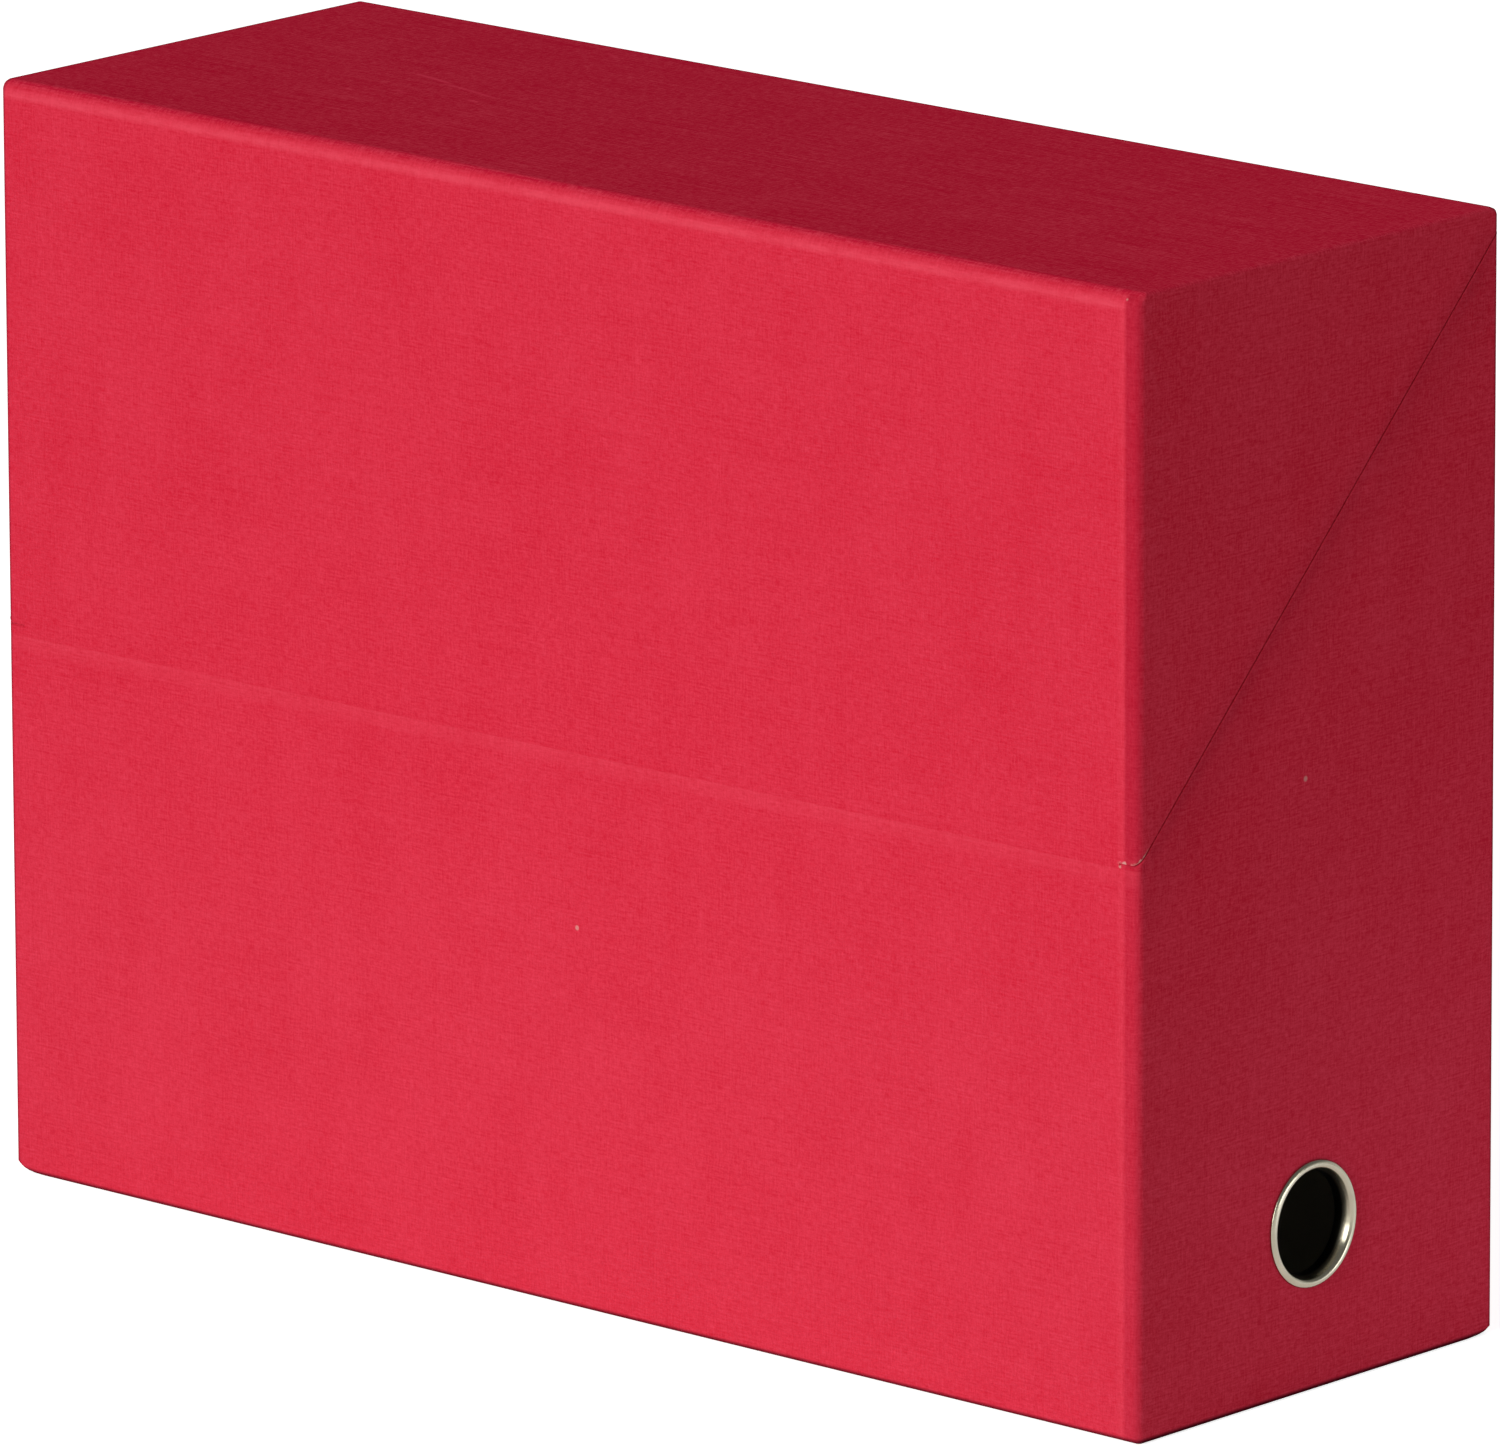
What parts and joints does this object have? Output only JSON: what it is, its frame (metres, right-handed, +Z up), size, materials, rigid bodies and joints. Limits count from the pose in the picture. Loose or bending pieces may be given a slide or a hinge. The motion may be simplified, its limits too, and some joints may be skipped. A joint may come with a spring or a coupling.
{
  "type": "document box",
  "caption": "Upright document box of paper-covered greyboard with a forward-tipping lid on a paper hinge, inner collar cheeks and a metal finger eyelet in one end.",
  "frame": {"origin": "on the floor under the middle of the box", "axes": "+X along the length towards the end with the finger eyelet, -Y out of the front with the crease, +Z up"},
  "size_m": [0.3409, 0.12, 0.255],
  "materials": {
    "covering_paper": "linen-grained embossed covering paper, matt with a slight sheen",
    "bottom_paper": "plain paper of the covering's colour, pasted under the bottom",
    "greyboard": "raw greyboard",
    "lining_paper": "uncoated buff lining paper",
    "collar_card": "smooth buff card",
    "nickel": "bright nickel plate"
  },
  "bodies": {
    "base": {"base_bottom_board": "greyboard", "base_front_board": "greyboard", "base_back_board": "greyboard", "base_left_end_board": "greyboard", "base_right_end_board": "greyboard", "base_wrap": "covering_paper", "base_bottom_sheet": "bottom_paper", "base_lining": "lining_paper", "collar_left": "collar_card", "collar_right": "collar_card", "finger_eyelet": "nickel", "eyelet_washer": "nickel", "hinge_strip": "covering_paper"},
    "lid": {"lid_top_board": "greyboard", "lid_front_board": "greyboard", "lid_back_lip_board": "greyboard", "lid_left_cheek_board": "greyboard", "lid_right_cheek_board": "greyboard", "lid_wrap": "covering_paper", "lid_lining": "lining_paper"}
  },
  "joints": [
    {"name": "lid_tip", "type": "hinge", "parent": "base", "child": "lid", "pos_m": [0, -0.06, 0.129], "axis": [1, 0, 0], "range_deg": [0, 170], "deforming": ["hinge_strip"]}
  ]
}
